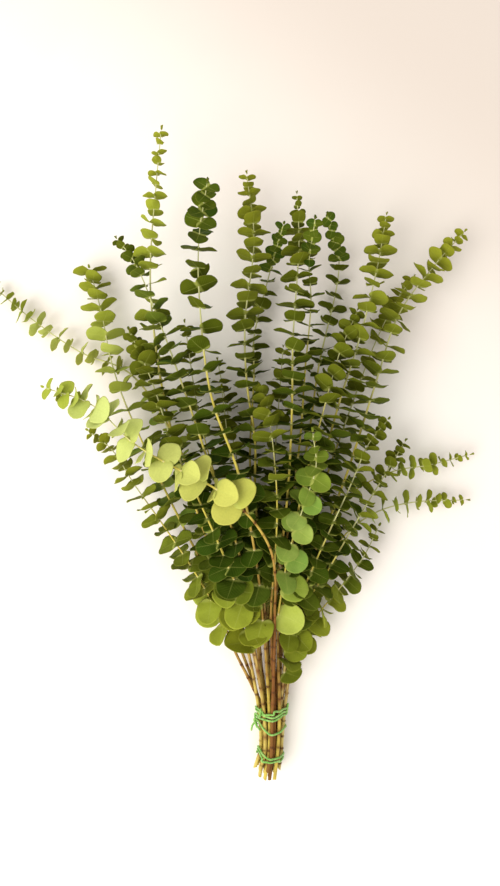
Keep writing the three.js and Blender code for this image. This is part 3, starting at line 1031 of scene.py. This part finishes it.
class RoundBundle:
    """The stems at a tie, as something to lay twine on."""

    def __init__(self, wound, radius):
        self.middle = wound.mean(axis=0)
        self.stems = [read_branch(node) for node in BRANCHES]
        self.radius = radius

    def at(self, angles, heights, lift):
        """Points over these angles: 0 is the top of the bundle, 90 degrees its right side."""
        y = self.middle[1] + heights
        out = np.stack([np.sin(angles), np.cos(angles)], axis=1)
        beyond = np.zeros((len(angles), 2))
        reach = np.full(len(angles), -np.inf)
        for stem in self.stems:
            x, z, thick = (
                np.interp(y, stem["line"][:, 1], values)
                for values in (stem["line"][:, 0], stem["line"][:, 2], stem["radii"])
            )
            over = x * out[:, 0] + z * out[:, 1] + thick
            surface = np.stack([x, z], axis=1) + thick[:, None] * out
            beyond = np.where((over > reach)[:, None], surface, beyond)
            reach = np.maximum(over, reach)
        x, z = (beyond + (self.radius + lift)[:, None] * out).T
        return np.stack([x, y, np.maximum(z, TWINE_LOWEST)], axis=1)

    def quarter_turns(self, heights):
        """A line with one height for each quarter turn, from the bundle's left over its top."""
        turns = np.linspace(0, len(heights) - 1, QUARTER_STEPS * (len(heights) - 1) + 1)
        angles = (turns - 1) * np.pi / 2
        nothing = np.zeros(len(turns))
        level = self.at(angles, nothing, nothing)
        steps = np.linalg.norm(np.diff(level, axis=0), axis=1)
        reach = np.concatenate([[0], np.cumsum(steps)])
        before = np.minimum(turns.astype(int), len(heights) - 2)
        start, end = reach[before * QUARTER_STEPS], reach[(before + 1) * QUARTER_STEPS]
        eased = smoothstep((reach - start) / (end - start), 0, 1)
        heights = np.array(heights)
        height = heights[before] + (heights[before + 1] - heights[before]) * eased
        return self.at(angles, height, nothing)

    def across(self, start, end, lift):
        """A short line over the turns, from one (degrees, height) to another."""
        past = np.linspace(0, 1, ACROSS_STEPS + 1)
        angles = np.radians(start[0] + (end[0] - start[0]) * past)
        heights = start[1] + (end[1] - start[1]) * past
        return self.at(angles, heights, lift * np.sin(np.pi * past) ** 0.5)


def knot_line(middle, out, scale):
    """A small overhand knot, whose three loops lie across the direction out."""
    turn = np.linspace(0, 2 * np.pi, KNOT_STEPS)
    side = unit(np.cross(out, (0.0, 1.0, 0.0)))
    up = np.cross(out, side)
    flat = np.stack([np.sin(turn) + 2 * np.sin(2 * turn), np.cos(turn) - 2 * np.cos(2 * turn)])
    deep = -np.sin(3 * turn)
    return middle + scale * (
        flat[0][:, None] * side + flat[1][:, None] * up + KNOT_DEPTH * deep[:, None] * out
    )


def knot_lines(bundle, radius):
    """The strand across the turns, the knot and the knot's two tails."""
    angle, height = np.radians(KNOT_PLACE[0]), KNOT_PLACE[1]
    lift = np.array([KNOT_LIFT * radius])
    middle = bundle.at(np.array([angle]), np.array([height]), lift)[0]
    out = np.array([np.sin(angle), 0.0, np.cos(angle)])
    crossing = bundle.across(*CROSSING_STRAND, CROSSING_LIFT * radius)
    knot = knot_line(middle, out, KNOT_SIZE * radius)
    return [crossing, knot, *(middle + np.array(tail) for tail in KNOT_TAILS)]


def wind_twine(node, settings, finish):
    """One tie: its turns, and on the upper one a crossing strand, a knot and two short tails."""
    bundle = RoundBundle(read_twine(node), settings.radius)
    lines = [bundle.quarter_turns(TIE_HEIGHTS[node])]
    if node == KNOTTED_TIE:
        lines += knot_lines(bundle, settings.radius)
    points, faces, ply = [], [], []
    count = 0
    for line in lines:
        made, joined, shown = twine_strand(line, settings)
        points.append(made)
        faces.extend(tuple(point + count for point in face) for face in joined)
        ply.append(shown)
        count += len(made)
    points = np.concatenate(points)
    points[:, 2] = np.maximum(points[:, 2], ABOVE_TABLE)
    attributes = {"ply": np.concatenate(ply)}
    return make_piece(node + "_cord", points, faces, attributes, finish, node)


# Operators

TABLE_HALF = 3.0
WINDOW_SIZE = 1.8
WINDOW_PLACE = (-1.1, -0.6, 1.5)
WINDOW_COLOUR = (1.0, 0.99, 0.97)
SKY_COLOUR = (1.0, 0.97, 0.96, 1.0)


def add_table(stage):
    """A flat square of table under the bunch."""
    mesh = bpy.data.meshes.new("table")
    corners = [(-1, -1), (1, -1), (1, 1), (-1, 1)]
    corners = [(x * TABLE_HALF, y * TABLE_HALF, 0) for x, y in corners]
    mesh.from_pydata(corners, [], [(0, 1, 2, 3)])
    mesh.materials.append(table_finish("table_top", stage))
    table = add_object("table", mesh)


def add_camera(stage):
    """The camera, straight above the bunch."""
    camera = add_object("camera", bpy.data.cameras.new("camera"))
    camera.data.lens = stage.lens
    camera.location = (stage.camera_right, stage.camera_up, stage.camera_height)
    bpy.context.scene.camera = camera


def add_light(stage):
    """A large window on the left, and soft light all round."""
    window = add_object("window", bpy.data.lights.new("window", "AREA"))
    window.data.energy = stage.window
    window.data.size = WINDOW_SIZE
    window.data.color = WINDOW_COLOUR
    window.location = WINDOW_PLACE
    window.rotation_euler = (-window.location).to_track_quat("-Z", "Y").to_euler()

    world = bpy.data.worlds.new("room")
    world.use_nodes = True
    sky = world.node_tree.nodes["Background"]
    sky.inputs["Color"].default_value = SKY_COLOUR
    sky.inputs["Strength"].default_value = stage.sky
    bpy.context.scene.world = world


class BUNCH_OT_stage(bpy.types.Operator):
    """Adds the table, the camera and the light."""

    bl_idname = "bunch.stage"
    bl_label = "Stage"

    def execute(self, context):
        stage = context.scene.bunch_stage
        add_table(stage)
        add_camera(stage)
        add_light(stage)
        context.scene.view_settings.view_transform = "Standard"
        return {"FINISHED"}


class BUNCH_OT_stems(bpy.types.Operator):
    """Grows the stem of each branch."""

    bl_idname = "bunch.stems"
    bl_label = "Stems"

    def execute(self, context):
        settings = context.scene.bunch_stems
        finish = stem_finish("stem_bark", settings)
        for node in BRANCHES:
            grow_stem(node, settings, finish)
        return {"FINISHED"}


class BUNCH_OT_leaves(bpy.types.Operator):
    """Grows the leaves of each branch."""

    bl_idname = "bunch.leaves"
    bl_label = "Leaves"

    def execute(self, context):
        settings = context.scene.bunch_leaves
        finish = leaf_finish("waxy_leaf", settings)
        pattern = LeafPattern()
        for node in BRANCHES:
            grow_leaves(node, pattern, settings, finish)
        return {"FINISHED"}


class BUNCH_OT_twine(bpy.types.Operator):
    """Winds the twine of both ties."""

    bl_idname = "bunch.twine"
    bl_label = "Twine"

    def execute(self, context):
        settings = context.scene.bunch_twine
        finish = twine_finish("green_twine", settings)
        for node in TIES:
            wind_twine(node, settings, finish)
        return {"FINISHED"}


class BUNCH_PT_panel(bpy.types.Panel):
    """Lists the steps that build the bunch."""

    bl_label = "Eucalyptus bunch"
    bl_idname = "BUNCH_PT_panel"
    bl_space_type = "VIEW_3D"
    bl_region_type = "UI"
    bl_category = "Bunch"

    def draw(self, context):
        for group, step in zip(GROUPS, STEPS):
            box = self.layout.box()
            settings = getattr(context.scene, group)
            for key in settings.bl_rna.properties.keys():
                if key not in ("rna_type", "name"):
                    box.prop(settings, key)
            box.operator(step.bl_idname)


GROUPS = {
    "bunch_stage": BUNCH_PG_stage,
    "bunch_stems": BUNCH_PG_stems,
    "bunch_leaves": BUNCH_PG_leaves,
    "bunch_twine": BUNCH_PG_twine,
}
STEPS = (BUNCH_OT_stage, BUNCH_OT_stems, BUNCH_OT_leaves, BUNCH_OT_twine)
CLASSES = (*GROUPS.values(), *STEPS, BUNCH_PT_panel)


def register():
    for made in CLASSES:
        bpy.utils.register_class(made)
    for name, group in GROUPS.items():
        setattr(bpy.types.Scene, name, PointerProperty(type=group))


def unregister():
    for name in GROUPS:
        delattr(bpy.types.Scene, name)
    for made in reversed(CLASSES):
        bpy.utils.unregister_class(made)


def main():
    register()
    bpy.ops.bunch.stage()
    bpy.ops.bunch.stems()
    bpy.ops.bunch.leaves()
    bpy.ops.bunch.twine()


if __name__ == "__main__":
    main()
